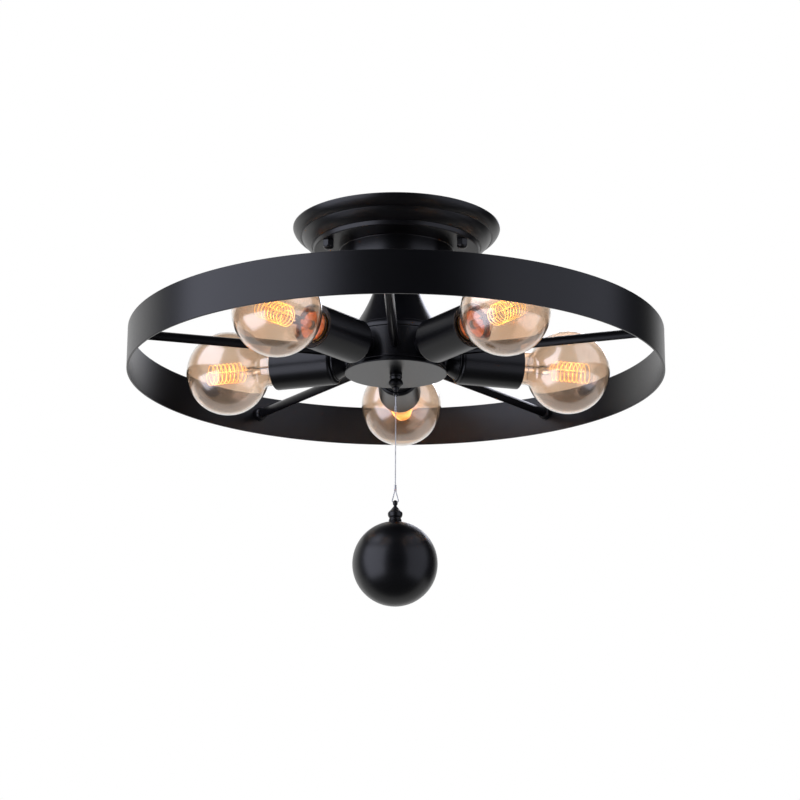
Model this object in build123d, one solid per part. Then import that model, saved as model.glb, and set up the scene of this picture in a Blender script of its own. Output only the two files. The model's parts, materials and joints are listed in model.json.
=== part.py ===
from build123d import *
import os
from math import cos, pi, sin, sqrt

# A semi-flush ceiling light: a flat steel ring on five spokes, with five globe lamps that point
# outwards from a hub, a bell between hub and ceiling canopy, and a ball that hangs on a wire.
# Millimetres, +Z up. The origin is the centre of the ceiling plane, so everything lies below zero.
# Lamp 1 points along +Y, and each spoke stands midway between two lamps.

# Clearances
seat_gap = 0.3            # a piece that slips loosely into another
thread_gap = 0.1          # radial play of a screw thread, drawn as a plain cylinder
hole_gap = 0.25           # radial play of a bolt or pipe in its hole

# Wheel
ring_outer_r = 250.0
ring_wall = 2.0
ring_height = 39.0
ring_edge = 0.5           # rounding of the strip's edges
wheel_drop = 147.2        # ceiling to the ring's lower edge
arm_height = 20.0         # lamp and spoke axes above the ring's lower edge
arm_count = 5

# Spokes
spoke_r = 4.25
spoke_stub_r = 3.0        # threaded end that passes through the hub wall
collar_r = 6.4            # flared collar where a spoke meets the ring
collar_length = 6.0
spoke_nut_flats = 10.0
spoke_nut_thick = 5.0

# Canopy
canopy_r = 98.2
canopy_wall = 1.2
canopy_lip = 1.5          # straight edge against the ceiling
upper_tier = 7.0          # how far the upper rounded tier draws in from the rim
upper_tier_depth = 9.6
tier_ledge = 1.2          # flat step under each tier
lower_tier = 9.6          # how far the lower rounded tier draws in
lower_tier_depth = 19.4
pan_taper = 0.8           # how far the last step draws in
canopy_depth = 24.0       # ceiling to the flat underside
tier_bulge = 1.0          # how far a tier's side swells past a straight line
boss_r = 54.0
boss_depth = 17.0         # boss below the flat underside
boss_round = 3.0

# Ceiling plate and its studs
plate_margin = 8.0        # metal outside the ends of the slots
plate_thick = 2.0
plate_cable_r = 13.0
plate_arm_width = 16.0
slot_spacing = 80.0
slot_length = 24.0
slot_r = 2.6
stud_count = 3
stud_inset = 6.4          # studs inside the edge of the flat underside
stud_r = 2.5
cap_nut_flats = 9.5
cap_nut_hex = 6.5         # height of the hexagon
cap_nut_wall = 1.5        # metal above the stud's end
stud_show = 7.5           # stud below the canopy

# Terminal block and earth screw, under the ceiling plate
block_width = 26.0
block_depth = 17.0
block_height = 14.0
block_offset = 36.0
earth_screw_r = 2.0
earth_head_r = 4.0
earth_head_thick = 2.6
earth_x = 30.0
earth_y = 24.0

# Stem
pipe_r = 5.0
pipe_bore_r = 3.3
pipe_show = 3.0           # pipe above the upper nut
stem_nut_flats = 17.0
stem_nut_thick = 4.5
stem_washer_r = 11.0
stem_washer_thick = 1.5

# Bell
bell_top_r = 15.5
bell_waist_r = 24.6       # at the waist height below
bell_waist_height = 31.0  # above the hub
bell_foot_r = 42.0
bell_wall = 1.2

# Hub
drum_r = 46.0
drum_wall = 1.5
drum_height = 37.5
drum_foot = 7.5           # drum's lower rim above the ring's lower edge
drum_top_r = 42.6         # flat top inside the rounded shoulder
drum_shoulder = 8.5
drum_lip = 0.9
drum_lip_height = 2.0
cover_r = 47.8
cover_thick = 2.7
cover_spacer = 1.7        # shadow gap between cover and drum
cover_spigot = 3.0        # ring inside the drum
cover_ring = 3.2          # width of that ring
cover_edge = 0.8

# Finial, the same under the hub and on the ball, measured from its seat
finial_collar_r = 6.0
finial_collar = 4.0
finial_waist_r = 5.2
finial_waist_at = 5.4
finial_rim_r = 6.8
finial_rim_at = 9.4
finial_rim = 0.9
finial_neck_r = 1.3
finial_neck_at = 16.8
finial_bead_r = 2.2
finial_bead_at = 18.9     # centre of the bead's inner round end
finial_bead_long = 1.2    # straight part between its two round ends
finial_eye_at = 20.7
finial_sink = 1.3         # how far the ball's finial sits down round the ball's top
finial_shank_r = 3.1
finial_shank = 11.0

# Lamp cup and the nipple that holds it
cup_r = 20.5
cup_wall = 1.2
cup_length = 61.0
cup_round = 3.0
nipple_r = 5.0
nipple_bore_r = 3.6
nipple_collar_r = 10.0    # collar at the drum
nipple_flare_r = 17.0     # the same collar at the cup
nipple_collar = 14.0      # collar between drum and cup
nipple_nut_flats = 14.0
nipple_nut_thick = 3.0
nipple_show = 2.5

# Lampholder
holder_recess = 3.5       # holder's front edge inside the cup's mouth
holder_bore_r = 14.2
socket_depth = 31.5       # holder's front edge to the floor of its bore
nipple_depth = 5.5        # nipple inside the holder
shell_wall = 0.6
shell_length = 27.0
contact_r = 4.0
contact_height = 5.1

# Bulb: a round globe lamp of 80 mm with a 27 mm screw cap
globe_r = 40.0
globe_reach = 53.5        # globe's centre from the cap's rim
glass_wall = 1.0
neck_r = 12.3             # glass inside the cap
neck_depth = 7.0
throat_r = 15.6           # glass between cap and globe
throat_step = 4.5         # cap's rim to the full width of the throat
throat_round = 7.0
cap_r = 13.2
cap_wall = 0.5
cap_length = 24.5
cap_taper = 5.5
cap_foot_r = 5.4
tip_r = 4.6
tip_thick = 1.8
contact_gap = 0.1         # tip to the holder's contact
stem_glass_r = 5.0
stem_glass_wall = 1.3
stem_glass = 32.5         # glass stem past the cap's rim
stem_press = 6.0          # solid end of the glass stem

# Filament: a spiral of glowing wire round the bulb's axis
filament_r = 9.5
filament_wire_r = 0.45
filament_turns = 8
filament_pitch = 4.2
filament_rise = 7.0       # glass stem to the first turn
filament_lead = 2.0       # leads beside the axis
filament_return = 3.6     # last turn to the top of the lead back

# Inside wiring
board_r = 20.0
board_height = 14.0
lead_r = 0.8
lead_offset = 1.5
lead_drop_at = 13.0       # where a supply lead goes down into the board
lead_bend = 2.6
window_height = 6.5
window_above_board = 2.5

# Hanging ball
eye_to_eye = 101.5
wire_r = 0.5
eye_hole_r = 0.8
loop_half = 3.1
loop_height = 9.6
loop_bend = 0.9
loop_leg = 0.6            # half the distance between the two wire ends
crimp_r = 1.25
crimp_length = 5.0
crimp_gap = 0.3
ball_r = 39.0
ball_wall = 1.5

# Levels and reaches worked out from the sizes above
ring_inner_r = ring_outer_r - ring_wall
upper_tier_r = canopy_r - upper_tier
lower_head_r = upper_tier_r - tier_ledge
lower_tier_r = lower_head_r - lower_tier
pan_head_r = lower_tier_r - tier_ledge
pan_r = pan_head_r - pan_taper
stud_circle_r = pan_r - stud_inset
plate_r = slot_spacing / 2 + slot_length / 2 + plate_margin
z_ring = -wheel_drop
z_arm = z_ring + arm_height
z_drum_foot = z_ring + drum_foot
z_drum_top = z_drum_foot + drum_height
z_boss = -(canopy_depth + boss_depth)
z_boss_floor = z_boss + canopy_wall
z_pipe_top = z_boss_floor + stem_washer_thick + stem_nut_thick + pipe_show
z_cover_face = z_drum_foot - cover_spacer
z_cover = z_cover_face - cover_thick
z_board_top = z_arm + board_height / 2
z_window = z_board_top + window_above_board
z_upper_eye = z_cover - finial_eye_at
z_lower_eye = z_upper_eye - eye_to_eye
ball_seat = sqrt(ball_r ** 2 - finial_collar_r ** 2) - finial_sink
z_ball = z_lower_eye - finial_eye_at - ball_seat
drum_inner_r = drum_r - drum_wall
cup_inner_r = cup_r - cup_wall
cup_back = drum_r + nipple_collar
cup_mouth = cup_back + cup_length
cup_floor = cup_back + cup_wall
holder_back = cup_floor + nipple_nut_thick
holder_front = cup_mouth - holder_recess
holder_floor = holder_front - socket_depth
tip_foot = holder_floor + contact_height + contact_gap
cap_foot = tip_foot + tip_thick
cap_rim = cap_foot + cap_length
throat_start = cap_rim + throat_step
globe_at = cap_rim + globe_reach
stem_press_at = cap_rim + stem_glass
filament_start = stem_press_at + filament_rise
filament_end = filament_start + filament_turns * filament_pitch
lead_level = plate_thick + block_height / 2
lamp_angles = [90 + 360 / arm_count * i for i in range(arm_count)]
spoke_angles = [angle + 180 / arm_count for angle in lamp_angles]
stud_angles = [90 + 360 / stud_count * i for i in range(stud_count)]


def post(radius, low, high):
    """Round bar about Z between two heights."""
    return Pos(0, 0, low) * Cylinder(radius, high - low, align=(Align.CENTER, Align.CENTER, Align.MIN))


def tube(outer, inner, low, high):
    """Round tube about Z between two heights."""
    return post(outer, low, high) - post(inner, low, high)


def hexagon(flats, low, high):
    """Hexagonal bar about Z, given the width across its flats."""
    return Pos(0, 0, low) * extrude(RegularPolygon(flats / sqrt(3), 6), high - low)


def spun(*edges):
    """Solid of revolution about Z from a closed outline of (radius, height) edges."""
    return revolve(Plane.XZ * make_face(list(edges)), Axis.Z)


def spun_outline(*points):
    """Solid of revolution about Z from straight lines between (radius, height) points."""
    return spun(*Polyline(*points, close=True).edges())


def outwards(angle):
    """Place a piece made along Z so that it points away from the light's axis at this angle."""
    return Pos(0, 0, z_arm) * Rot(0, 0, angle) * Rot(0, 90, 0)


def around(angle, radius):
    """Place a piece upright at an angle and a radius from the light's axis."""
    return Rot(0, 0, angle) * Pos(radius, 0, 0)


def wire(path, radius):
    """Round wire along a path."""
    return sweep(Plane(path @ 0, z_dir=path % 0) * Circle(radius), path)


def inner_nut_face(flats):
    """Distance at which a flat nut's corners touch the drum's round inner wall."""
    return sqrt(drum_inner_r ** 2 - (flats / sqrt(3)) ** 2) - thread_gap


def canopy_form(shrink):
    """Canopy as a full body, with its radii and depths reduced by the wall for its inside."""
    lip = (canopy_r - shrink, -canopy_lip + shrink)
    upper_foot = (upper_tier_r - shrink, -upper_tier_depth + shrink)
    lower_head = (lower_head_r - shrink, -upper_tier_depth + shrink)
    lower_foot = (lower_tier_r - shrink, -lower_tier_depth + shrink)
    pan_head = (pan_head_r - shrink, -lower_tier_depth + shrink)
    pan_edge = (pan_r - shrink, -canopy_depth + shrink)
    boss_side = boss_r - shrink
    boss_end = z_boss + shrink
    boss_turn = (boss_side - boss_round, boss_end)
    return spun(
        Line((0, 0), (canopy_r - shrink, 0)),
        Line((canopy_r - shrink, 0), lip),
        SagittaArc(lip, upper_foot, tier_bulge),
        Line(upper_foot, lower_head),
        SagittaArc(lower_head, lower_foot, tier_bulge),
        Line(lower_foot, pan_head),
        Line(pan_head, pan_edge),
        Line(pan_edge, (boss_side, -canopy_depth + shrink)),
        Line((boss_side, -canopy_depth + shrink), (boss_side, boss_end + boss_round)),
        RadiusArc((boss_side, boss_end + boss_round), boss_turn, boss_round),
        Line(boss_turn, (0, boss_end)),
        Line((0, boss_end), (0, 0)),
    )


def make_canopy():
    """Spun dish with a hole for the stem and one for each stud."""
    dish = canopy_form(0) - canopy_form(canopy_wall)
    dish -= post(pipe_r + hole_gap, z_boss - 1, z_boss_floor + 1)
    for angle in stud_angles:
        dish -= around(angle, stud_circle_r) * post(stud_r + hole_gap, -canopy_depth - 1, 0)
    return dish


def make_ceiling_plate():
    """Flat plate with an arm to each stud, two ceiling slots, a cable hole and the earth screw's hole."""
    outline = Circle(plate_r)
    for angle in stud_angles:
        arm = Pos(stud_circle_r / 2, 0) * Rectangle(stud_circle_r, plate_arm_width)
        outline += Rot(0, 0, angle) * (arm + Pos(stud_circle_r, 0) * Circle(plate_arm_width / 2))
    for angle in stud_angles:
        outline -= around(angle, stud_circle_r) * Circle(stud_r + thread_gap)
    outline -= Circle(plate_cable_r)
    for side in (-1, 1):
        outline -= Pos(side * slot_spacing / 2, 0) * SlotOverall(slot_length, 2 * slot_r)
    outline -= Pos(earth_x, earth_y) * Circle(earth_screw_r + thread_gap)
    return extrude(outline, -plate_thick)


def make_plate_studs():
    """Threaded studs, level with the plate's top and long enough for the cap nuts."""
    return [around(a, stud_circle_r) * post(stud_r, -canopy_depth - stud_show, 0) for a in stud_angles]


def make_cap_nuts():
    """Cap nuts: a hexagon against the canopy and a round dome over the stud's end."""
    seat = -canopy_depth
    hex_end = seat - cap_nut_hex
    dome_r = cap_nut_flats / 2
    bore_end = seat - stud_show - thread_gap
    dome_end = bore_end - cap_nut_wall
    dome_middle = (dome_r * cos(pi / 4), hex_end + (dome_end - hex_end) * sin(pi / 4))
    nut = hexagon(cap_nut_flats, hex_end, seat)
    nut += spun(
        Line((0, seat), (dome_r, seat)),
        Line((dome_r, seat), (dome_r, hex_end)),
        ThreePointArc((dome_r, hex_end), dome_middle, (0, dome_end)),
        Line((0, dome_end), (0, seat)),
    )
    nut -= post(stud_r + thread_gap, bore_end, seat)
    return [around(angle, stud_circle_r) * nut for angle in stud_angles]


def make_terminal_block():
    """Moulded terminal block under the plate, with a screw well for each wire."""
    block = Pos(0, block_offset, -lead_level) * Box(block_width, block_depth, block_height)
    for side in (-1, 1):
        well = post(block_width / 8, -plate_thick - block_height, -lead_level - lead_r)
        block -= Pos(side * block_width / 4, block_offset, 0) * well
    return block


def make_earth_screw():
    """Pan-head screw through the plate, with room for an earth wire under its head."""
    head_seat = -plate_thick - 2 * lead_r
    screw = post(earth_screw_r, head_seat, -plate_thick / 2)
    screw += post(earth_head_r, head_seat - earth_head_thick, head_seat)
    driver_slot = Box(2 * earth_head_r, earth_screw_r / 2, earth_head_thick)
    screw -= Pos(0, 0, head_seat - earth_head_thick) * driver_slot
    return Pos(earth_x, earth_y, 0) * screw


def make_stem_pipe():
    """Hollow pipe from the canopy to the cover plate, with a window on two sides for the leads."""
    pipe = tube(pipe_r, pipe_bore_r, z_cover_face, z_pipe_top)
    window = Box(4 * pipe_r, 2 * (lead_r + thread_gap + hole_gap) + lead_r, window_height)
    return pipe - Pos(0, 0, z_window + window_height / 2) * window


def stem_nut(low):
    """Hexagon nut on the stem pipe."""
    high = low + stem_nut_thick
    return hexagon(stem_nut_flats, low, high) - post(pipe_r + thread_gap, low, high)


def make_stem_nuts():
    """Nuts in the canopy, under the drum's top and under the junction board."""
    over_boss = z_boss_floor + stem_washer_thick
    under_drum = z_drum_top - drum_wall - stem_washer_thick - stem_nut_thick
    under_board = z_arm - board_height / 2 - stem_nut_thick
    return [stem_nut(low) for low in (over_boss, under_drum, under_board)]


def make_stem_washers():
    """Plain washers under the nuts in the canopy and in the drum."""
    lows = (z_boss_floor, z_drum_top - drum_wall - stem_washer_thick)
    return [tube(stem_washer_r, pipe_r + hole_gap, low, low + stem_washer_thick) for low in lows]


def bell_form(shrink):
    """Bell as a full body whose side is one arc through its top, waist and foot."""
    top = (bell_top_r - shrink, z_boss - shrink)
    waist = (bell_waist_r - shrink, z_drum_top + bell_waist_height)
    foot = (bell_foot_r - shrink, z_drum_top)
    return spun(
        Line((0, z_drum_top), foot),
        ThreePointArc(foot, waist, top),
        Line(top, (0, z_boss - shrink)),
        Line((0, z_boss - shrink), (0, z_drum_top)),
    )


def make_bell_cover():
    """Flared cover, open below, with a hole for the stem in its top."""
    return bell_form(0) - bell_form(bell_wall) - post(pipe_r + hole_gap, z_boss - 2 * bell_wall, z_boss)


def drum_form(shrink):
    """Hub box as a full body: flat top, rounded shoulder and straight side."""
    side = drum_r - shrink
    shoulder_end = z_drum_top - drum_shoulder
    top = z_drum_top - shrink
    return spun(
        Line((0, top), (drum_top_r - shrink, top)),
        SagittaArc((drum_top_r - shrink, top), (side, shoulder_end), drum_lip),
        Line((side, shoulder_end), (side, z_drum_foot)),
        Line((side, z_drum_foot), (0, z_drum_foot)),
        Line((0, z_drum_foot), (0, top)),
    )


def make_hub_drum():
    """Hub box, open below, with a lip at its rim and holes for the stem, the spokes and the nipples."""
    drum = drum_form(0)
    drum += post(drum_r + drum_lip, z_drum_foot, z_drum_foot + drum_lip_height)
    drum -= drum_form(drum_wall)
    drum -= post(pipe_r + hole_gap, z_drum_top - drum_wall, z_drum_top)
    for angle in spoke_angles:
        drum -= outwards(angle) * post(spoke_stub_r + thread_gap, 0, 2 * drum_r)
    for angle in lamp_angles:
        drum -= outwards(angle) * post(nipple_r + thread_gap, 0, 2 * drum_r)
    return drum


def make_cover_plate():
    """Round plate under the drum, with a raised ring that seats on the rim and fits inside it."""
    plate = post(cover_r, z_cover, z_cover_face)
    plate = fillet(plate.edges(), cover_edge)
    spigot_r = drum_inner_r - seat_gap
    plate += tube(drum_r, spigot_r - cover_ring, z_cover_face - cover_edge, z_drum_foot)
    plate += tube(spigot_r, spigot_r - cover_ring, z_drum_foot - cover_edge, z_drum_foot + cover_spigot)
    return plate - post(finial_shank_r + hole_gap, z_cover, z_cover_face)


def finial():
    """Turned finial with its seat at zero, pointing down: collar, bell rim, neck and a bead with an eye."""
    collar = (finial_collar_r, -finial_collar)
    waist = (finial_waist_r, -finial_waist_at)
    rim_top = (finial_rim_r, -finial_rim_at)
    rim_foot = (finial_rim_r, -finial_rim_at - finial_rim)
    neck = (finial_neck_r, -finial_neck_at)
    bead_foot = -finial_bead_at - finial_bead_long
    body = spun(
        Line((0, 0), (finial_collar_r, 0)),
        Line((finial_collar_r, 0), collar),
        Line(collar, waist),
        SagittaArc(waist, rim_top, -finial_rim / 2),
        Line(rim_top, rim_foot),
        SagittaArc(rim_foot, neck, -finial_rim),
        Line(neck, (finial_neck_r, -finial_bead_at)),
        Line((finial_neck_r, -finial_bead_at), (0, -finial_bead_at)),
        Line((0, -finial_bead_at), (0, 0)),
    )
    body += Pos(0, 0, -finial_bead_at) * Sphere(finial_bead_r)
    body += post(finial_bead_r, bead_foot, -finial_bead_at)
    body += Pos(0, 0, bead_foot) * Sphere(finial_bead_r)
    body += post(finial_shank_r, 0, finial_shank)
    eye = Rot(0, 90, 0) * post(eye_hole_r, -2 * finial_bead_r, 2 * finial_bead_r)
    return body - Pos(0, 0, -finial_eye_at) * eye


def make_ring_band():
    """Rolled flat strip with slightly rounded edges."""
    band = tube(ring_outer_r, ring_inner_r, z_ring, z_ring + ring_height)
    return fillet(band.edges().filter_by(GeomType.CIRCLE), ring_edge)


def make_spoke(angle):
    """Round rod from drum to ring, shaped to both, with a thinner threaded end through the drum's wall."""
    rod = outwards(angle) * post(spoke_r, 0, ring_outer_r) - post(drum_r, z_ring, z_drum_top)
    rod &= post(ring_inner_r, z_ring, z_ring + ring_height)
    stub_start = inner_nut_face(spoke_nut_flats) - spoke_nut_thick - nipple_show
    return rod + outwards(angle) * post(spoke_stub_r, stub_start, drum_r + spoke_r)


def make_spoke_collars():
    """Flared collars round the spokes, shaped to the ring's inner face."""
    hole_r = spoke_r + thread_gap
    start = ring_inner_r - collar_length
    horn = spun_outline(
        (hole_r, start),
        (hole_r + ring_edge, start),
        (collar_r, ring_inner_r - ring_wall),
        (collar_r, ring_outer_r),
        (hole_r, ring_outer_r),
    )
    inside = post(ring_inner_r, z_ring, z_ring + ring_height)
    return [(outwards(angle) * horn) & inside for angle in spoke_angles]


def make_spoke_nuts():
    """Hexagon nuts on the spokes' ends, inside the drum."""
    face = inner_nut_face(spoke_nut_flats)
    nut = hexagon(spoke_nut_flats, face - spoke_nut_thick, face)
    nut -= post(spoke_stub_r + thread_gap, face - spoke_nut_thick, face)
    return [outwards(angle) * nut for angle in spoke_angles]


def make_lamp_cup(angle):
    """Drawn cup with a rounded back, open outwards, and a hole for the nipple."""
    side_start = cup_back + cup_round
    cup = spun(
        Line((0, cup_back), (cup_r - cup_round, cup_back)),
        RadiusArc((cup_r - cup_round, cup_back), (cup_r, side_start), -cup_round),
        Line((cup_r, side_start), (cup_r, cup_mouth)),
        Line((cup_r, cup_mouth), (0, cup_mouth)),
        Line((0, cup_mouth), (0, cup_back)),
    )
    cup -= spun(
        Line((0, cup_floor), (cup_inner_r - cup_round, cup_floor)),
        RadiusArc((cup_inner_r - cup_round, cup_floor), (cup_inner_r, cup_floor + cup_round), -cup_round),
        Line((cup_inner_r, cup_floor + cup_round), (cup_inner_r, cup_mouth)),
        Line((cup_inner_r, cup_mouth), (0, cup_mouth)),
        Line((0, cup_mouth), (0, cup_floor)),
    )
    return outwards(angle) * (cup - post(nipple_r + thread_gap, cup_back, cup_floor))


def make_cup_nipples():
    """Hollow threaded nipples with a flared collar between drum and cup, shaped to the drum."""
    start = inner_nut_face(nipple_nut_flats) - nipple_nut_thick - nipple_show
    end = holder_back + nipple_depth
    flare_start = drum_r + drum_lip + seat_gap
    horn = spun(
        Line((0, 0), (nipple_collar_r, 0)),
        Line((nipple_collar_r, 0), (nipple_collar_r, flare_start)),
        Line((nipple_collar_r, flare_start), (nipple_flare_r, cup_back)),
        Line((nipple_flare_r, cup_back), (0, cup_back)),
        Line((0, cup_back), (0, 0)),
    )
    nipples = []
    for angle in lamp_angles:
        collar = outwards(angle) * horn - post(drum_r, z_ring, z_drum_top)
        bar = outwards(angle) * post(nipple_r, start, end) + collar
        nipples.append(bar - outwards(angle) * post(nipple_bore_r, start, end))
    return nipples


def make_nipple_nuts():
    """Two nuts on each nipple: one inside the drum and one inside the cup."""
    lows = (inner_nut_face(nipple_nut_flats) - nipple_nut_thick, cup_floor)
    nuts = []
    for low in lows:
        nut = hexagon(nipple_nut_flats, low, low + nipple_nut_thick)
        nut -= post(nipple_r + thread_gap, low, low + nipple_nut_thick)
        nuts += [outwards(angle) * nut for angle in lamp_angles]
    return nuts


def make_lampholders():
    """Insulating bodies in the cups: a bore for the screw shell and a hole for the nipple."""
    body = post(cup_inner_r - seat_gap, holder_back, holder_front)
    back_edge = body.edges().sort_by(Axis.Z)[0]
    body = chamfer(back_edge, cup_round)
    body -= post(holder_bore_r, holder_floor, holder_front)
    body -= post(nipple_r + thread_gap, holder_back, holder_back + nipple_depth + thread_gap)
    return [outwards(angle) * body for angle in lamp_angles]


def make_screw_shells():
    """Metal screw shells on the floor of the holders' bores."""
    outer = holder_bore_r - thread_gap
    shell = tube(outer, outer - shell_wall, holder_floor, holder_floor + shell_length)
    shell += tube(outer, contact_r + nipple_show, holder_floor, holder_floor + shell_wall)
    return [outwards(angle) * shell for angle in lamp_angles]


def make_centre_contacts():
    """Round contacts on the holders' floor, just short of the bulbs' tips."""
    contact = post(contact_r, holder_floor, tip_foot - contact_gap)
    return [outwards(angle) * contact for angle in lamp_angles]


def make_junction_board():
    """Round terminal board on the stem, which joins the lampholders' leads to the supply leads."""
    low = z_arm - board_height / 2
    return tube(board_r, pipe_r + hole_gap, low, z_board_top)


def make_supply_leads():
    """Two leads from the terminal block down the stem, out of its windows and into the board."""
    block_face = block_offset - block_depth / 2
    turn = z_window + window_height / 2 - lead_r
    leads = []
    for side in (-1, 1):
        route = FilletPolyline(
            (side * lead_offset, block_face, -lead_level),
            (side * lead_offset, 0, -lead_level),
            (side * lead_offset, 0, turn),
            (side * lead_drop_at, 0, turn),
            (side * lead_drop_at, 0, z_board_top),
            radius=lead_bend,
        )
        leads.append(wire(route, lead_r))
    return leads


def make_holder_leads():
    """Two straight leads from each holder through its nipple to the board."""
    end = holder_back + nipple_depth
    core = post(board_r, z_ring, z_drum_top)
    leads = []
    for angle in lamp_angles:
        for side in (-1, 1):
            lead = Pos(0, side * lead_offset, 0) * post(lead_r, 0, end)
            leads.append(outwards(angle) * lead - core)
    return leads


def bulb_tip():
    """Contact disc at the foot of the bulb's cap."""
    return post(tip_r, tip_foot, cap_foot)


def bulb_cap():
    """Screw cap: a thin cup that tapers to its foot. The thread is drawn as a plain cylinder."""
    shoulder = cap_foot + cap_taper
    outer = spun_outline(
        (0, cap_foot),
        (cap_foot_r, cap_foot),
        (cap_r, shoulder),
        (cap_r, cap_rim),
        (0, cap_rim),
    )
    inner = spun_outline(
        (0, cap_foot + cap_wall),
        (cap_foot_r - cap_wall, cap_foot + cap_wall),
        (cap_r - cap_wall, shoulder + cap_wall),
        (cap_r - cap_wall, cap_rim),
        (0, cap_rim),
    )
    return outer - inner


def globe_outline(shrink):
    """Bulb glass as a full body: neck, wider throat and globe, reduced by the wall for its inside."""
    neck = neck_r - shrink
    throat = throat_r - shrink
    ball = globe_r - shrink
    bend = throat_round + shrink
    throat_end = globe_at - sqrt((ball + bend) ** 2 - (throat + bend) ** 2)
    share = ball / (ball + bend)
    join = ((throat + bend) * share, globe_at + (throat_end - globe_at) * share)
    foot = cap_rim - neck_depth + shrink
    return spun(
        Line((0, foot), (neck, foot)),
        Line((neck, foot), (neck, cap_rim)),
        Line((neck, cap_rim), (throat, throat_start)),
        Line((throat, throat_start), (throat, throat_end)),
        RadiusArc((throat, throat_end), join, bend),
        ThreePointArc(join, (ball, globe_at), (0, globe_at + ball)),
        Line((0, globe_at + ball), (0, foot)),
    )


def bulb_glass():
    """Globe with its neck, and the glass stem inside that carries the filament."""
    foot = cap_rim - neck_depth
    glass = globe_outline(0) - globe_outline(glass_wall)
    glass += post(stem_glass_r, foot, stem_press_at)
    return glass - post(stem_glass_r - stem_glass_wall, foot, stem_press_at - stem_press)


def biarc(start, start_way, end, end_way):
    """Two arcs that leave and arrive along the given directions, with equal tangent lengths."""
    span = end - start
    square = 2 * (1 - start_way.dot(end_way))
    linear = 2 * span.dot(start_way + end_way)
    size = span.dot(span)
    reach = (-linear + sqrt(linear ** 2 + 4 * square * size)) / (2 * square)
    middle = (start + end + (start_way - end_way) * reach) * 0.5
    middle_way = (end - end_way * reach - start - start_way * reach).normalized()
    return [TangentArc(start, middle, tangent=start_way), TangentArc(middle, end, tangent=middle_way)]


def filament_path():
    """Lead up from the glass stem, the spiral in half turns, and a straight lead back along the axis."""
    def spiral(half_turns):
        angle = pi * half_turns
        rise = filament_pitch / (2 * pi)
        point = Vector(filament_r * cos(angle), filament_r * sin(angle), filament_start + rise * angle)
        return point, Vector(-filament_r * sin(angle), filament_r * cos(angle), rise).normalized()

    up = Vector(0, 0, 1)
    lead_up = Vector(filament_lead, 0, stem_press_at)
    lead_top = lead_up + up * 2 * filament_wire_r
    back_top = Vector(-filament_lead, 0, filament_end - filament_return)
    back_foot = Vector(-filament_lead, 0, stem_press_at)
    half_turns = [spiral(k) for k in range(2 * filament_turns + 1)]
    edges = [Line(lead_up, lead_top)] + biarc(lead_top, up, *half_turns[0])
    for here, there in zip(half_turns, half_turns[1:]):
        edges += biarc(*here, *there)
    edges += biarc(*half_turns[-1], back_top, up * -1) + [Line(back_top, back_foot)]
    return Wire([edge.edge() for edge in edges])


def least_gap(path, radius):
    """Least clear gap of a wire to itself, between points that lie more than a few radii apart along it."""
    count = 700
    points = [path.position_at(i / count) for i in range(count + 1)]
    step = path.length / count
    skip = int(8 * radius / step) + 1
    pairs = ((a, b) for i, a in enumerate(points) for b in points[i + skip:])
    return min((a - b).length for a, b in pairs) - 2 * radius


def eye_loop():
    """Wire eye with its top side through the eye's centre along X, and its crimp below."""
    leg_end = -loop_height - 2 * wire_r
    route = FilletPolyline(
        (-loop_leg, 0, leg_end),
        (-loop_leg, 0, -loop_height),
        (-loop_half, 0, 0),
        (loop_half, 0, 0),
        (loop_leg, 0, -loop_height),
        (loop_leg, 0, leg_end),
        radius=loop_bend,
    )
    return [wire(route, wire_r), post(crimp_r, leg_end - crimp_length, leg_end)]


def crimp_end():
    """Distance from an eye to the far end of its crimp."""
    return loop_height + 2 * wire_r + crimp_length


def make_drop_wire():
    """Straight wire between the two crimps, with a round upper end at its bend."""
    top = z_upper_eye - crimp_end() - crimp_gap - wire_r
    return post(wire_r, z_lower_eye + crimp_end(), top) + Pos(0, 0, top) * Sphere(wire_r)


def make_drop_ball():
    """Hollow ball with a hole at its top for the finial's shank."""
    ball = Pos(0, 0, z_ball) * (Sphere(ball_r) - Sphere(ball_r - ball_wall))
    return ball - Pos(0, 0, z_ball) * post(finial_shank_r + thread_gap, 0, 2 * ball_r)


def make_ball_finial():
    """The hub's finial turned over, with its seat hollowed to the ball."""
    seat = Pos(0, 0, z_ball + ball_seat) * Rot(180, 0, 0)
    shell = Pos(0, 0, z_ball) * (Sphere(ball_r) - post(finial_shank_r, 0, 2 * ball_r))
    return seat * finial() - shell


def save(name, *solids):
    """Write one node, a single solid or a group of separate ones."""
    pieces = [solid for shape in solids for solid in shape.solids()]
    export_step(pieces[0] if len(pieces) == 1 else Compound(children=pieces), f"parts/{name}.step")


os.makedirs("parts", exist_ok=True)

save("ceiling_plate", make_ceiling_plate())
save("plate_studs", *make_plate_studs())
save("canopy", make_canopy())
save("cap_nuts", *make_cap_nuts())
save("terminal_block", make_terminal_block())
save("earth_screw", make_earth_screw())
save("stem_pipe", make_stem_pipe())
save("stem_nuts", *make_stem_nuts())
save("stem_washers", *make_stem_washers())
save("bell_cover", make_bell_cover())
save("hub_drum", make_hub_drum())
save("cover_plate", make_cover_plate())
# The hub's finial and its eye are turned a quarter, so that the wire's two eyes swing across each other.
save("hub_finial", Pos(0, 0, z_cover) * Rot(0, 0, 90) * finial())
save("ring_band", make_ring_band())
save("spoke_collars", *make_spoke_collars())
save("spoke_nuts", *make_spoke_nuts())
save("cup_nipples", *make_cup_nipples())
save("nipple_nuts", *make_nipple_nuts())
save("lampholders", *make_lampholders())
save("screw_shells", *make_screw_shells())
save("centre_contacts", *make_centre_contacts())
save("junction_board", make_junction_board())
save("supply_leads", *make_supply_leads())
save("holder_leads", *make_holder_leads())

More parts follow.
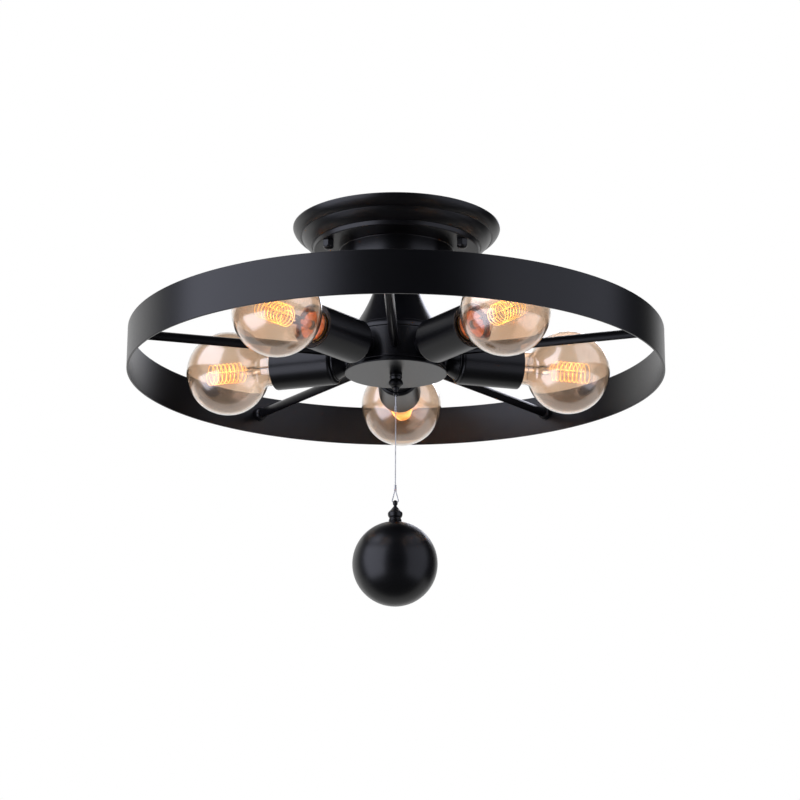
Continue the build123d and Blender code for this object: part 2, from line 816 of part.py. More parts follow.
filament_route = filament_path()
filament_wire = wire(filament_route, filament_wire_r)
filament_gap = least_gap(filament_route, filament_wire_r)
print(f"filament: {filament_turns} turns, least gap to itself {filament_gap:.2f} mm")

for number, (lamp_angle, spoke_angle) in enumerate(zip(lamp_angles, spoke_angles), start=1):
    save(f"spoke_{number}", make_spoke(spoke_angle))
    save(f"lamp_cup_{number}", make_lamp_cup(lamp_angle))
    save(f"bulb_tip_{number}", outwards(lamp_angle) * bulb_tip())
    save(f"bulb_cap_{number}", outwards(lamp_angle) * bulb_cap())
    save(f"bulb_glass_{number}", outwards(lamp_angle) * bulb_glass())
    save(f"filament_{number}", outwards(lamp_angle) * filament_wire)

save("upper_loop", *[Pos(0, 0, z_upper_eye) * Rot(0, 0, 90) * piece for piece in eye_loop()])
save("drop_wire", make_drop_wire())
save("lower_loop", *[Pos(0, 0, z_lower_eye) * Rot(180, 0, 0) * piece for piece in eye_loop()])
save("drop_ball", make_drop_ball())
save("ball_finial", make_ball_finial())
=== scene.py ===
import json
import math

import bpy
import numpy as np
from mathutils import Matrix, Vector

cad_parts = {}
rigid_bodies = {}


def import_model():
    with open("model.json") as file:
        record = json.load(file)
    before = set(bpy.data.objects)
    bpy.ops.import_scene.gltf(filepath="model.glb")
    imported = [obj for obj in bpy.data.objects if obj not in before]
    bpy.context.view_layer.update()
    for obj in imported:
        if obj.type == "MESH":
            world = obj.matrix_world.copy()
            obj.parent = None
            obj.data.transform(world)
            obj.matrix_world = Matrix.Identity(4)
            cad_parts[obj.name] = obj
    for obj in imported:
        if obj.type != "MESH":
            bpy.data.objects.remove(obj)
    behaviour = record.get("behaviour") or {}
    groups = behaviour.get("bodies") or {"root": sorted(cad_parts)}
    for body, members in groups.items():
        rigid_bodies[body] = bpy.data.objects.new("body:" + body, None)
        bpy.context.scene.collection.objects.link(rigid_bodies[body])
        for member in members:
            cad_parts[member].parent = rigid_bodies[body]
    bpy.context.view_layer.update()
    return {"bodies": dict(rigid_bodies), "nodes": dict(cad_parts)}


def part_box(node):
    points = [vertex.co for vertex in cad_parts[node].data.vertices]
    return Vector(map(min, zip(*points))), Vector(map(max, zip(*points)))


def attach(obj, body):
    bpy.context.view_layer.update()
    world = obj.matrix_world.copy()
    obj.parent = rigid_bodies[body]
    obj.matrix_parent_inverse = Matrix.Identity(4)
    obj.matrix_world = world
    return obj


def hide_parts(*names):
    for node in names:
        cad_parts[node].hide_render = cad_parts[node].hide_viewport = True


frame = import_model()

# Looks of a semi-flush ceiling light: a black ring on spokes, globe lamps in cups that point outwards,
# a stepped canopy, a bell and a ball on a wire. Lengths here are millimetres in the part's own frame,
# with +Z up and the ceiling plane at zero, and become metres where an object is made from them.
MM = 0.001
LAMPS = range(1, 6)
TURN = 2 * np.pi
X, Y, Z = range(3)
add_to_scene = bpy.context.scene.collection.objects.link

# Fine sizes that the frame's boxes don't give; most roundings stand in the outlines

# Sheet and strip
edge = 0.5  # rounding of the ring's edges
ring_wall = 2.0
sheet_wall = 1.2
drum_wall = 1.5
stem_hole_r = 5.25

# Canopy and its cap nuts
lip_depth = 1.5
upper_tier = (91.2, 9.6)  # radius and depth of the upper tier's foot
lower_tier = (80.4, 19.4)
tier_bulge = 1.0
tier_ledge = 1.2
pan_taper = 0.8
canopy_floor = 24.0  # ceiling to the canopy's flat underside
boss_r = 54.0
stud_circle_r = 72.0
nut_count = 3
nut_flats = 9.5
nut_hex = 6.5  # height of the hexagon
nut_chamfer = 0.5
dome_step = 0.15  # the dome's foot inside the flats

# Bell, hub box and cover plate
bell_top_r = 15.5
bell_waist = (24.6, 31.0)  # radius, and height above the hub
shoulder = 8.5  # height of the hub's rounded shoulder
shoulder_rise = 0.9
drum_top_r = 42.6
drum_r = 46.0
drum_lip = (0.9, 2.0)  # how far the hub's rim stands out, and its height
cover_thick = 2.7
cover_hole_r = 3.35
spigot_r = 44.2
spigot_wall = 3.2
spigot_height = 3.0

# Spokes, cups and holders
overrun = 8.0  # spare length of a rod before it is cut to its seat
spoke_r = 4.25
collar_r = 6.4
collar_long = 6.0
collar_gap = 0.1
collar_lip = 0.5
collar_foot = 1.6
collar_rise = 0.7
cup_r = 20.5
cup_round = 3.0
nipple_hole_r = 5.1
nipple_collar_r = 10.0  # collar at the hub
nipple_step = 1.2
nipple_flare_r = 17.0  # the same collar at the cup
nipple_flange = 1.7
nipple_bevel = (1.0, 2.0)  # inside the flange's edge, and distance from the cup
holder_gap = 0.3
holder_back = 3.0  # from the cup's floor
holder_chamfer = 3.0
holder_front = 3.5  # from the cup's mouth
holder_bore_r = 14.2
holder_depth = 35.0  # from the cup's mouth to the lamp's seat
groove = (1.4, 2.2, 0.8)  # its two walls from the holder's outside, and its depth

# Lamps
globe_r = 40.0
glass_wall = 1.0
throat_r = 15.6
throat_round = 7.0
neck_r = 12.3
neck_cone = 4.5
cap_r = 13.2
cap_wall = 0.5
cap_cone = 5.5
cap_plain = 1.6  # smooth band above the thread
cap_foot_r = 7.4
cap_foot_hole_r = 6.6
thread_pitch = 25.4 / 7
thread_depth = 1.0
thread_ease = 2.0
button_r = 5.3
button_edge = 0.9  # height of the insulator's edge
button_top = (6.5, 1.5)
tip_r = (4.6, 4.4, 2.6)  # at the cap, at the side's end and at the foot
tip_side = 0.9
stem_r = 4.0
stem_flare = 0.6
stem_ends = (1.2, 1.0)  # past the glass's foot and the filament's foot
stem_pinch = (0.8, 2.6)  # wider one way and thinner the other
shield_r = (4.4, 13.2)
shield_wall = 0.4
shield_rise = 3.6  # cap's rim to mica disc
filament_r = 9.5
filament_turns = 8
filament_pitch = 4.2
filament_lead = 2.0  # the leads' distance from the axis
filament_lift = 7.0  # foot to first even turn
filament_widen = 5.0
filament_tail = 3.6
filament_wire_r = 0.34
hook_count = 4
hook_r = 0.18
hook_root = 0.2
hook_rise = 1.2
rod_r = 0.5
rod_ends = (4, 30)  # below the filament's foot, and past its first even turn

# Wire
wire_r = 0.5
strand_count = 3
strand_r = 0.27
strand_lay = 5.0  # length of one turn of a strand
loop_half = 3.1
loop_height = 9.6
loop_leg = 0.6
leg_tail = 2.0  # end of the legs inside the sleeve
crimp_r = 1.25
crimp_length = 5.0
crimp_press = 0.28


def ends(node, axis):
    """Both ends of a part's node along an axis, in millimetres."""
    low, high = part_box(node)
    return low[axis] / MM, high[axis] / MM


# Levels and reaches read from the frame
ring_outer_r = ends("ring_band", X)[1]
ring_inner_r = ring_outer_r - ring_wall
z_ring, z_ring_top = ends("ring_band", Z)
canopy_r = ends("canopy", X)[1]
z_boss = ends("canopy", Z)[0]
bell_r = ends("bell_cover", X)[1]
z_drum_foot, z_drum_top = ends("hub_drum", Z)
cover_r = ends("cover_plate", X)[1]
z_cover = ends("cover_plate", Z)[0]
z_arm = sum(ends("lamp_cup_1", Z)) / 2
cup_back, cup_mouth = ends("lamp_cup_1", Y)
cap_foot, cap_rim = ends("bulb_cap_1", Y)
tip_foot = ends("bulb_tip_1", Y)[0]
glass_foot, globe_end = ends("bulb_glass_1", Y)
globe_at = globe_end - globe_r
filament_foot = ends("filament_1", Y)[0]
spiral_start = filament_foot + filament_lift
ball_r = ends("drop_ball", X)[1]
z_ball = ends("drop_ball", Z)[0] + ball_r
z_wire_foot, z_wire_top = ends("drop_wire", Z)
z_upper_eye = ends("upper_loop", Z)[1] - wire_r
z_lower_eye = ends("lower_loop", Z)[0] + wire_r
z_ball_seat = ends("ball_finial", Z)[1] - (z_cover - ends("hub_finial", Z)[0])
lamp_turn = {i: math.radians(90 + 72 * (i - 1)) for i in LAMPS}
spoke_turn = {i: lamp_turn[i] + math.radians(36) for i in LAMPS}


# Outlines, as arrays of (radius, height)

def unit(vector):
    return vector / np.linalg.norm(vector)


def rounded(*corners, closed=True, steps=6, hold=0.15):
    """Outline through corners (r, z, rounding). A corner becomes an arc tangent to both its sides, found by
    turning one spoke of the arc's circle into the other, with a point held just off each end of the arc so
    that flats stay flat to the eye. A corner with rounding None is a plain point of a longer curve."""
    points = [np.array(corner[:2], float) for corner in corners]
    count = len(points)
    outline = []
    for i, corner in enumerate(corners):
        here = points[i]
        if corner[2] is None or (not closed and i in (0, count - 1)):
            outline.append(here[None])
            continue
        before, after = points[i - 1] - here, points[(i + 1) % count] - here
        back, ahead = unit(before), unit(after)
        half = math.acos(np.clip(back @ ahead, -1, 1)) / 2
        room = 0.48 * min(np.linalg.norm(before), np.linalg.norm(after))
        reach = min(corner[2] / math.tan(half), room)
        centre = here + unit(back + ahead) * reach / math.cos(half)
        first, last = here + back * reach - centre, here + ahead * reach - centre
        sweep = math.pi - 2 * half
        t = np.linspace(0, 1, steps + 1)[:, None]
        arc = centre + (np.sin((1 - t) * sweep) * first + np.sin(t * sweep) * last) / math.sin(sweep)
        outline += [(here + back * min(reach + hold, room * 1.02))[None], arc,
                    (here + ahead * min(reach + hold, room * 1.02))[None]]
    return np.vstack(outline)


def swell(start, end, rise, steps=10):
    """Plain points of the arc from start to end that stands out by rise to the left of the way from one to
    the other, both ends left out: centre plus radius times (normal cos a + chord sin a)."""
    start, end = np.array(start, float), np.array(end, float)
    chord = unit(end - start)
    normal = np.array([-chord[1], chord[0]])
    half = np.linalg.norm(end - start) / 2
    radius = (half ** 2 + rise ** 2) / (2 * rise)
    centre = (start + end) / 2 + normal * (rise - radius)
    a = np.linspace(-1, 1, steps + 1)[1:-1, None] * math.asin(half / abs(radius)) * np.sign(radius)
    arc = centre + radius * (normal * np.cos(a) + chord * np.sin(a) * np.sign(radius))
    return [(r, z, None) for r, z in arc]


def rise_through(start, middle, end):
    """Signed height over the chord of the circle through three points, for swell."""
    start, middle, end = (np.array(p, float) for p in (start, middle, end))
    chord = unit(end - start)
    normal = np.array([-chord[1], chord[0]])
    along, off = (middle - start) @ chord, (middle - start) @ normal
    length = np.linalg.norm(end - start)
    lift = (along * (along - length) + off ** 2) / (2 * off)
    return lift + math.copysign(math.hypot(length / 2, lift), off)


# Surfaces: a grid of points, rows along the outline and columns round it, and whether its rows close

def lathe(outline, columns=96, closed=True):
    """Outline turned about Z: (r cos a, r sin a, z) over all angles a at once."""
    a = np.linspace(0, TURN, columns, endpoint=False)
    r, z = outline[:, :1], outline[:, 1:]
    return np.stack([r * np.cos(a), r * np.sin(a), z + 0 * a], -1), closed


def hex_lathe(outline, flats, columns=96, closed=False):
    """Outline turned about Z and cut by a hexagon: the radius is the lesser of the outline's own and
    flats / 2 divided by the cosine of the angle from the nearest flat's middle."""
    a = np.linspace(0, TURN, columns, endpoint=False)
    from_flat = (a + TURN / 12) % (TURN / 6) - TURN / 12
    r = np.minimum(outline[:, :1], flats / 2 / np.cos(from_flat))
    return np.stack([r * np.cos(a), r * np.sin(a), outline[:, 1:] + 0 * a], -1), closed


def tube(path, radius, columns=12, across=None):
    """Round section carried along a path, closed at both ends: path + radius (normal cos a + side sin a),
    where side is square to the path and to the across direction at each point."""
    along = np.gradient(path, axis=0)
    along /= np.linalg.norm(along, axis=1, keepdims=True)
    across = np.broadcast_to(across, path.shape)
    side = np.cross(along, across)
    side /= np.linalg.norm(side, axis=1, keepdims=True)
    normal = np.cross(side, along)
    a = np.linspace(0, TURN, columns, endpoint=False)
    ring = normal[:, None] * np.cos(a)[:, None] + side[:, None] * np.sin(a)[:, None]
    points = path[:, None] + np.broadcast_to(radius, len(path))[:, None, None] * ring
    poles = np.broadcast_to(path[[0, -1], None], (2, columns, 3))
    return np.concatenate([poles[:1], points, poles[1:]]), False


def outwards(surface, turn):
    """Surface made along Z, laid along the lamp axis at this angle from the light's axis."""
    points, closed = surface
    out, side, up = points[..., 2], points[..., 1], -points[..., 0]
    x = out * math.cos(turn) - side * math.sin(turn)
    y = out * math.sin(turn) + side * math.cos(turn)
    return np.stack([x, y, up + z_arm], -1), closed


def moved(surface, x=0.0, y=0.0, z=0.0):
    points, closed = surface
    return points + np.array([x, y, z]), closed


def quarter(surface):
    """Turns a surface a quarter about the light's axis."""
    points, closed = surface
    return points[..., [1, 0, 2]] * [-1, 1, 1], closed


def seated(surface, inner_r, outer_r):
    """Surface along Z whose two ends lie on round walls about the light's axis: its reach is kept between
    the roots of inner_r^2 - y^2 and outer_r^2 - y^2."""
    points, closed = surface
    points = points.copy()
    across = points[..., 1] ** 2
    points[..., 2] = np.clip(points[..., 2], np.sqrt(inner_r ** 2 - across), np.sqrt(outer_r ** 2 - across))
    return points, closed


def faces_of(surface, first, hollow=False):
    """Vertices and faces of one grid. A row whose points coincide is a pole and keeps one vertex, with
    triangles round it. The sign of the enclosed volume says which way the faces turn."""
    points, closed = surface
    rows, columns = points.shape[:2]
    pole = np.ptp(points, axis=1).max(axis=1) < 1e-9
    start = np.concatenate([[0], np.cumsum(np.where(pole, 1, columns))[:-1]])
    index = start[:, None] + np.where(pole[:, None], 0, np.arange(columns))
    vertices = points[~pole[:, None] | (np.arange(columns) == 0)]
    here = index if closed else index[:-1]
    there = np.roll(index, -1, axis=0) if closed else index[1:]
    quads = np.stack([here, np.roll(here, -1, 1), np.roll(there, -1, 1), there], -1).reshape(-1, 4)
    corner = vertices[quads]
    volume = np.einsum("ij,ij->", corner[:, 0], np.cross(corner[:, 1], corner[:, 2]))
    volume += np.einsum("ij,ij->", corner[:, 0], np.cross(corner[:, 2], corner[:, 3]))
    if (volume < 0) != hollow:
        quads = quads[:, ::-1]
    flat_start, flat_end = quads[:, 0] == quads[:, 1], quads[:, 2] == quads[:, 3]
    faces = quads[~flat_start & ~flat_end].tolist()
    faces += quads[flat_start & ~flat_end][:, 1:].tolist() + quads[flat_end & ~flat_start][:, :3].tolist()
    return vertices, [[first + i for i in face] for face in faces]


def piece(name, surfaces, material, body, nodes=(), hollow=()):
    """One object of one or more surfaces, smooth, riding on a body in place of the part's nodes."""
    vertices, faces = [], []
    for number, surface in enumerate(surfaces):
        points, added = faces_of(surface, sum(map(len, vertices)), number in hollow)
        vertices.append(points)
        faces += added
    mesh = bpy.data.meshes.new(name)
    mesh.from_pydata(np.vstack(vertices) * MM, [], faces)
    mesh.polygons.foreach_set("use_smooth", np.ones(len(mesh.polygons), bool))
    mesh.update()
    mesh.materials.append(material)
    made = bpy.data.objects.new(name, mesh)
    add_to_scene(made)
    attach(made, body)
    if nodes:
        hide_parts(*nodes)
    return made


# Materials

def srgb(code):
    """Linear colour of an sRGB hex value."""
    parts = np.array([int(code[i:i + 2], 16) for i in (1, 3, 5)]) / 255
    linear = np.where(parts <= 0.04045, parts / 12.92, ((parts + 0.055) / 1.055) ** 2.4)
    return (*linear.tolist(), 1.0)


def node(tree, kind, values=None, links=None, **settings):
    """Adds a node, sets its settings and input values, and links sockets into its inputs."""
    made = tree.nodes.new(kind)
    for key, value in settings.items():
        setattr(made, key, value)
    for key, value in (values or {}).items():
        made.inputs[key].default_value = value
    for key, socket in (links or {}).items():
        tree.links.new(socket, made.inputs[key])
    return made


def maths(tree, operation, *inputs):
    """Result of a math node on sockets and plain numbers."""
    made = node(tree, "ShaderNodeMath", operation=operation)
    for number, value in enumerate(inputs):
        if isinstance(value, bpy.types.NodeSocket):
            tree.links.new(value, made.inputs[number])
        else:
            made.inputs[number].default_value = value
    return made.outputs[0]


def surface_material(name, **values):
    """New material with one shader; returns the material, its tree, the shader and Object coordinates."""
    made = bpy.data.materials.new(name)
    made.use_nodes = True
    tree = made.node_tree
    shader = tree.nodes["Principled BSDF"]
    for key, value in values.items():
        shader.inputs[key.replace("_", " ")].default_value = value
    place = node(tree, "ShaderNodeTexCoord").outputs["Object"]
    return made, tree, shader, place


def noise(tree, place, size_mm, detail):
    """Value of a noise texture with features about this many millimetres wide."""
    values = {"Scale": 1 / (size_mm * MM), "Detail": detail}
    return node(tree, "ShaderNodeTexNoise", values, {"Vector": place}).outputs["Fac"]


def cells(tree, place, size_mm):
    """Distance to the nearest of scattered points, which lie about this many millimetres apart."""
    values = {"Scale": 1 / (size_mm * MM)}
    return node(tree, "ShaderNodeTexVoronoi", values, {"Vector": place}).outputs["Distance"]


def spread(tree, socket, low, high):
    """A texture's value spread between two numbers."""
    made = node(tree, "ShaderNodeMapRange", {"To Min": low, "To Max": high}, {"Value": socket})
    return made.outputs["Result"]


def shade(tree, socket, dark, light, low=0.35, high=0.65):
    """A texture's value as a colour between two."""
    ramp = node(tree, "ShaderNodeValToRGB", None, {"Fac": socket})
    ramp.color_ramp.elements[0].position = low
    ramp.color_ramp.elements[1].position = high
    ramp.color_ramp.elements[0].color = srgb(dark)
    ramp.color_ramp.elements[1].color = srgb(light)
    return ramp.outputs["Color"]


def bumped(tree, shader, socket, height_mm, strength):
    """Relief from a texture's value, with its height in millimetres."""
    values = {"Distance": height_mm * MM, "Strength": strength}
    bump = node(tree, "ShaderNodeBump", values, {"Height": socket})
    tree.links.new(bump.outputs["Normal"], shader.inputs["Normal"])


def make_powder_coat():
    """Polyester powder coat, baked on steel: a satin black with a faint orange peel, so highlights are
    wide and a little uneven. The peel is drawn at 2.4 mm, twice the real width, so that it shows."""
    made, tree, shader, place = surface_material("satin_black_powder_coat", IOR=1.46)
    peel = noise(tree, place, 2.4, 2.0)
    cloud = noise(tree, place, 60, 3.0)
    tree.links.new(shade(tree, cloud, "#060608", "#0a0a0d"), shader.inputs["Base Color"])
    tree.links.new(spread(tree, peel, 0.28, 0.35), shader.inputs["Roughness"])
    bumped(tree, shader, peel, 0.03, 0.1)
    return made


def make_lamp_glass():
    """Blown soda-lime glass with an amber lustre: clear enough to see the filament, mirror-like towards
    the edges. The coat is the thin lustre film, which reflects more than bare glass and softly, as a pearl
    does."""
    made, tree, shader, place = surface_material(
        "amber_lustre_glass", Roughness=0.0, IOR=1.52, Transmission_Weight=1.0, Coat_Weight=0.85,
        Coat_IOR=2.1, Coat_Roughness=0.2)
    wave = noise(tree, place, 45, 1.0)
    tree.links.new(shade(tree, wave, "#ecd5be", "#f1e1d0"), shader.inputs["Base Color"])
    bumped(tree, shader, wave, 0.25, 0.15)
    return made


def make_stem_glass():
    """Pressed lead glass of the lamp's stem: clear, with soft ripples from the pinch."""
    made, tree, shader, place = surface_material(
        "pressed_stem_glass", Roughness=0.04, IOR=1.5, Transmission_Weight=1.0, Base_Color=srgb("#f3ece2"))
    bumped(tree, shader, noise(tree, place, 5, 2.0), 0.3, 0.4)
    return made


def make_filament():
    """Glowing carbon filament: orange, hotter and yellower in patches a few millimetres long."""
    made, tree, shader, place = surface_material("glowing_filament", Roughness=0.6, Emission_Strength=0.85)
    glow = shade(tree, noise(tree, place, 7, 2.0), "#ffc470", "#fff0b4")
    tree.links.new(glow, shader.inputs["Emission Color"])
    tree.links.new(glow, shader.inputs["Base Color"])
    return made


def make_brass():
    """Drawn brass: warm yellow metal with an uneven polish and faint tarnish."""
    made, tree, shader, place = surface_material("drawn_brass", Metallic=1.0)
    polish = noise(tree, place, 1.5, 4.0)
    tarnish = noise(tree, place, 12, 3.0)
    tree.links.new(shade(tree, tarnish, "#b98a45", "#d9b36a"), shader.inputs["Base Color"])
    tree.links.new(spread(tree, polish, 0.22, 0.42), shader.inputs["Roughness"])
    return made


def make_mica():
    """Pressed mica disc: brown-orange flakes with a soft sheen, seen through the lamp's neck."""
    made, tree, shader, place = surface_material("pressed_mica", Roughness=0.42, IOR=1.58)
    flake = shade(tree, cells(tree, place, 3), "#d98c3a", "#ad6420", 0.1, 0.7)
    tree.links.new(flake, shader.inputs["Base Color"])
    return made


def make_zinc():
    """Zinc-plated steel, passivated: a dull cool grey in faint patches."""
    made, tree, shader, place = surface_material("zinc_plated_steel", Metallic=1.0)
    patch = shade(tree, cells(tree, place, 7), "#b9bcc2", "#d0d3d8", 0.1, 0.8)
    grain = noise(tree, place, 1.2, 4.0)
    tree.links.new(patch, shader.inputs["Base Color"])
    tree.links.new(spread(tree, grain, 0.5, 0.7), shader.inputs["Roughness"])
    return made


def make_plain(name, dark, light, roughness):
    """Mouldings, sleeves, solder and the caps' insulators: a slightly uneven colour and a fine grain."""
    made, tree, shader, place = surface_material(name, Roughness=roughness, IOR=1.55)
    cloud = noise(tree, place, 9, 3.0)
    grain = noise(tree, place, 0.7, 2.0)
    tree.links.new(shade(tree, cloud, dark, light), shader.inputs["Base Color"])
    bumped(tree, shader, grain, 0.02, 0.3)
    return made


def make_wire_steel():
    """Stainless wire rope: bright grey, with duller and slightly bluish streaks."""
    made, tree, shader, place = surface_material("stainless_wire", Metallic=1.0)
    streak = noise(tree, place, 0.8, 3.0)
    tree.links.new(shade(tree, streak, "#a9abb0", "#dcdde0"), shader.inputs["Base Color"])
    tree.links.new(spread(tree, streak, 0.2, 0.38), shader.inputs["Roughness"])
    return made


powder_coat = make_powder_coat()
lamp_glass = make_lamp_glass()
stem_glass = make_stem_glass()
glow_wire = make_filament()
brass = make_brass()
mica = make_mica()
zinc = make_zinc()
phenolic = make_plain("black_phenolic", "#121212", "#1d1c1c", 0.38)
ivory = make_plain("ivory_polyamide", "#d8d2be", "#e6e0cf", 0.5)
sleeve = make_plain("silicone_sleeve", "#e2ddd3", "#efebe3", 0.6)
solder = make_plain("dull_solder", "#8f9196", "#b4b6ba", 0.35)
vitrite = make_plain("black_glass_insulator", "#0b0b0e", "#15151a", 0.12)
wire_steel = make_wire_steel()


# Camera, placed as the photograph was taken, and the studio

def placed(right, up, back, place):
    """Matrix whose columns are three directions and a place in millimetres."""
    columns = np.stack([right, up, back, np.asarray(place) * MM], 1)
    return Matrix([*columns.tolist(), [0, 0, 0, 1]])


def make_camera():
    """Camera from its place, pitch, yaw and roll, turned about the axis with the photographed wheel."""
    place = np.array([0.0, -2096.75, -758.96])
    pitch, yaw, roll = (math.radians(a) for a in (15.716, 0.108, -0.25))
    wheel_turn = math.radians(1.9)
    sensor, focal_px, frame_px = 36.0, 2340.69, 800
    across = np.array([math.cos(yaw), -math.sin(yaw), 0])
    ahead = np.array([math.sin(yaw) * math.cos(pitch), math.cos(yaw) * math.cos(pitch), math.sin(pitch)])
    above = np.cross(across, ahead)
    right = across * math.cos(roll) - above * math.sin(roll)
    up = across * math.sin(roll) + above * math.cos(roll)
    data = bpy.data.cameras.new("photo_camera")
    data.sensor_width = sensor
    data.lens = sensor * focal_px / frame_px
    data.clip_end = 50.0
    made = bpy.data.objects.new("photo_camera", data)
    made.matrix_world = Matrix.Rotation(wheel_turn, 4, "Z") @ placed(right, up, -ahead, place)
    add_to_scene(made)
    bpy.context.scene.camera = made


def softbox(name, azimuth, height, distance, width, tall, power):
    """Rectangular area lamp round the light at an azimuth from the camera's side, aimed at the wheel. Its
    cloth is dimmer towards the edges, so that the glass shows soft patches and not hard windows."""
    aim = np.array([0, 0, -150.0])
    middle, full_within = 0.5, 0.36
    data = bpy.data.lights.new(name, "AREA")
    data.shape = "RECTANGLE"
    data.color = srgb("#e9ecff")[:3]
    data.size, data.size_y = width * MM, tall * MM
    data.energy = power
    data.use_nodes = True
    tree = data.node_tree
    cloth = node(tree, "ShaderNodeNewGeometry").outputs["Parametric"]
    sides = node(tree, "ShaderNodeSeparateXYZ", None, {0: cloth})
    fades = []
    for side in ("X", "Y"):
        off = maths(tree, "ABSOLUTE", maths(tree, "SUBTRACT", sides.outputs[side], middle))
        fade = node(tree, "ShaderNodeMapRange", {"From Min": middle, "From Max": full_within},
                    {"Value": off}, interpolation_type="SMOOTHSTEP")
        fades.append(fade.outputs["Result"])
    tree.links.new(maths(tree, "MULTIPLY", *fades), tree.nodes["Emission"].inputs["Strength"])
    made = bpy.data.objects.new(name, data)
    a = math.radians(azimuth)
    place = np.array([distance * math.sin(a), -distance * math.cos(a), height])
    back = unit(place - aim)
    side = unit(np.cross([0, 0, 1], back))
    made.matrix_world = placed(side, np.cross(back, side), back, place)
    made.visible_camera = False
    add_to_scene(made)


def make_world():
    """White to the camera and through glass. To glossy rays the room is what a studio is: a white backdrop
    behind the light and dimness on the camera's side, so that the black coat keeps its depth. Diffuse rays
    get an even grey."""
    backdrop_side = (-0.26, 0.966, 0.0)
    world = bpy.data.worlds.new("studio")
    bpy.context.scene.world = world
    world.use_nodes = True
    tree = world.node_tree
    tree.nodes.clear()
    rays = node(tree, "ShaderNodeLightPath").outputs
    direction = node(tree, "ShaderNodeTexCoord").outputs["Generated"]
    facing = node(tree, "ShaderNodeVectorMath", {1: backdrop_side}, {0: direction}, operation="DOT_PRODUCT")
    behind = node(tree, "ShaderNodeMapRange",
                  {"From Min": 0.45, "From Max": 0.8, "To Min": 0.02, "To Max": 0.9},
                  {"Value": facing.outputs["Value"]}, interpolation_type="SMOOTHSTEP")
    shown = maths(tree, "MAXIMUM", rays["Is Camera Ray"], rays["Is Transmission Ray"])
    sweep = maths(tree, "MULTIPLY", rays["Is Glossy Ray"], behind.outputs["Result"])
    level = maths(tree, "MAXIMUM", shown, sweep)
    plain = maths(tree, "MAXIMUM", shown, rays["Is Glossy Ray"])
    room = node(tree, "ShaderNodeBackground", {"Color": srgb("#8e9096"), "Strength": 0.45})
    sheet = node(tree, "ShaderNodeBackground", {"Color": (1, 1, 1, 1)}, {"Strength": level})
    mix = node(tree, "ShaderNodeMixShader", None, {0: plain, 1: room.outputs[0], 2: sheet.outputs[0]})
    node(tree, "ShaderNodeOutputWorld", None, {"Surface": mix.outputs[0]})


def make_floor():
    """Plain pale floor of a room 2.8 m high, almost white to the camera so that only soft shade shows. To
    glossy rays it is pale from a metre behind the light on, where the backdrop's sheet lies, and dim in
    front. Its sizes are metres."""
    level, half = -2.8, 6.0
    made, tree, shader, _ = surface_material("pale_floor", Roughness=0.9, Base_Color=srgb("#e9e9e9"))
    rays = node(tree, "ShaderNodeLightPath").outputs
    position = node(tree, "ShaderNodeNewGeometry").outputs["Position"]
    across = node(tree, "ShaderNodeSeparateXYZ", None, {"Vector": position})
    dimmer = node(tree, "ShaderNodeMapRange",
                  {"From Min": 0.85, "From Max": 1.05, "To Min": -0.92, "To Max": -0.45},
                  {"Value": across.outputs["Y"]})
    strength = maths(tree, "MULTIPLY_ADD", rays["Is Glossy Ray"], dimmer.outputs["Result"], 1.0)
    white = node(tree, "ShaderNodeEmission", {"Color": (1, 1, 1, 1)}, {"Strength": strength})
    seen = maths(tree, "MAXIMUM", rays["Is Camera Ray"], rays["Is Transmission Ray"])
    shown = maths(tree, "MULTIPLY_ADD", seen, 0.85, rays["Is Glossy Ray"])
    mix = node(tree, "ShaderNodeMixShader", None, {0: shown, 1: shader.outputs[0], 2: white.outputs[0]})
    tree.links.new(mix.outputs[0], tree.nodes["Material Output"].inputs["Surface"])
    mesh = bpy.data.meshes.new("floor")
    corners = [(-half, -half, level), (half, -half, level), (half, half, level), (-half, half, level)]
    mesh.from_pydata(corners, [], [(0, 1, 2, 3)])
    mesh.materials.append(made)
    floor = bpy.data.objects.new("floor", mesh)
    add_to_scene(floor)


def make_lamp_glow(number):
    """Small warm lamp at a filament: it lights the lamp's neck and stem, and nothing mirrors it."""
    data = bpy.data.lights.new(f"lamp_glow_{number}", "POINT")
    data.color = srgb("#ff9a45")[:3]
    data.energy = 0.1
    data.shadow_soft_size = filament_r * MM
    made = bpy.data.objects.new(data.name, data)
    reach = globe_at * MM
    turn = lamp_turn[number]
    made.location = (reach * math.cos(turn), reach * math.sin(turn), z_arm * MM)
    made.parent = frame["bodies"][f"bulb_{number}"]
    made.visible_camera = made.visible_transmission = made.visible_glossy = False
    add_to_scene(made)


def coated(name, surfaces, replaced, body="fixture"):
    """Powder-coated piece in place of one node."""
    piece(name, surfaces, powder_coat, body, [replaced])


# Ceiling end

def make_canopy():
    """Spun dish: two swelling tiers, a short step and a boss, with the wall's inside following them."""
    def side(shrink):
        lip = (canopy_r - shrink, -lip_depth + shrink)
        upper_foot = (upper_tier[0] - shrink, -upper_tier[1] + shrink)
        lower_head = (upper_foot[0] - tier_ledge, upper_foot[1])
        lower_foot = (lower_tier[0] - shrink, -lower_tier[1] + shrink)
        pan_head = (lower_foot[0] - tier_ledge, lower_foot[1])
        pan_edge = (pan_head[0] - pan_taper, -canopy_floor + shrink)
        boss = boss_r - shrink
        soft = 0.9 - shrink / 3
        return [(canopy_r - shrink, 0.0, 0.3), (*lip, soft), *swell(lip, upper_foot, tier_bulge),
                (*upper_foot, soft), (*lower_head, 0.4), *swell(lower_head, lower_foot, tier_bulge),
                (*lower_foot, soft), (*pan_head, 0.4), (*pan_edge, 1.4 - shrink / 2),
                (boss, -canopy_floor + shrink, 0.9), (boss, z_boss + shrink, 3.0 - shrink),
                (stem_hole_r, z_boss + shrink, 0.2)]

    outline = rounded(*side(0), *side(sheet_wall)[::-1])
    coated("canopy_shell", [lathe(outline, 192)], "canopy")


